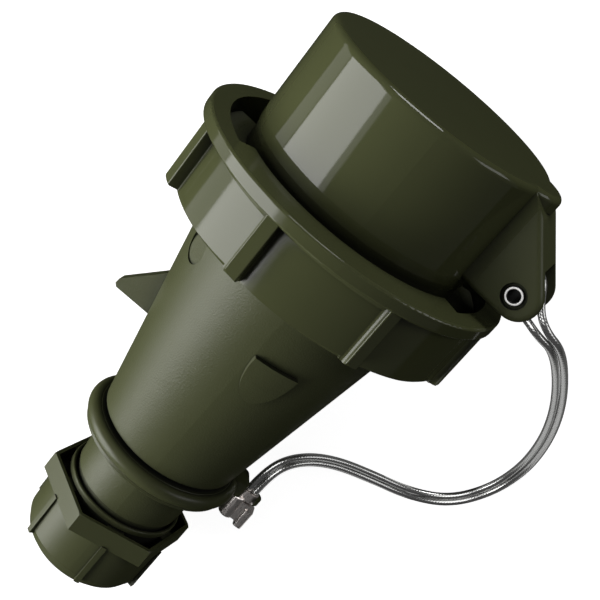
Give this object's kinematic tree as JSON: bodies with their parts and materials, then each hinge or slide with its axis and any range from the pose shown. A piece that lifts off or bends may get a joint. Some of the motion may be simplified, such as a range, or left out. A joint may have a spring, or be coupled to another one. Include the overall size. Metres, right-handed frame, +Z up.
{
  "type": "pin and sleeve plug",
  "caption": "Olive-green industrial round power plug with a bayonet locking ring, a tapered handle, a cable gland and a protective cap on a wire tether.",
  "frame": {"origin": "on the surface that the plug lies on, under the middle of the box round the plug without its tether", "axes": "+Z up, +X level along the plug towards its cap, +Y across the plug. The plug's own axis leans 11.91 degrees, cap end up."},
  "size_m": [0.1822, 0.1451, 0.0954],
  "materials": {
    "olive_shell": "glossy moulded olive green, satin on the handle",
    "black_insert": "matt black",
    "black_rubber": "matt",
    "plated_brass": "nickel-plated",
    "plated_steel": "bright plated",
    "wire_rope": "stranded steel wire in a clear sheath"
  },
  "bodies": {
    "housing": {"handle_body": "olive_shell", "front_shroud": "olive_shell", "body_o_ring": "black_rubber", "pin_carrier": "black_insert", "pin_retainer": "black_insert", "terminal_screws": "plated_steel", "flange_gasket": "black_rubber", "pin_earth": "plated_brass", "pin_neutral": "plated_brass", "pin_line_1": "plated_brass", "pin_line_2": "plated_brass", "pin_line_3": "plated_brass", "tether_ring": "olive_shell", "tether_ferrule": "plated_steel", "tether_wire": "wire_rope", "cable_seal": "black_rubber", "cable_clamp": "black_insert"},
    "ring": {"locking_ring": "olive_shell"},
    "cap": {"protective_cap": "olive_shell", "lug_rivet": "plated_steel"},
    "thrust": {"thrust_ring": "black_insert"},
    "nut": {"gland_nut": "olive_shell"}
  },
  "joints": [
    {"name": "ring_turn", "type": "hinge", "parent": "housing", "child": "ring", "pos_m": [0.03592, 0.00292, 0.0456], "axis": [0.9785, 0, 0.2063], "range_deg": [0, 60]},
    {"name": "cap_pull", "type": "slide", "parent": "housing", "child": "cap", "axis": [0.9785, 0, 0.2063], "range_m": [0, 0.044], "deforming": ["tether_wire"]},
    {"name": "gland_feed", "type": "slide", "parent": "housing", "child": "thrust", "axis": [-0.9785, 0, -0.2063], "range_m": [0, 0.0045]},
    {"name": "gland_turn", "type": "hinge", "parent": "thrust", "child": "nut", "pos_m": [-0.07719, 0.00292, 0.02175], "axis": [-0.9785, 0, -0.2063], "range_deg": [-1080, 0]}
  ],
  "couplings": [
    {"joint": "gland_turn", "follows": "gland_feed", "rad_per_m": -4188.8}
  ]
}
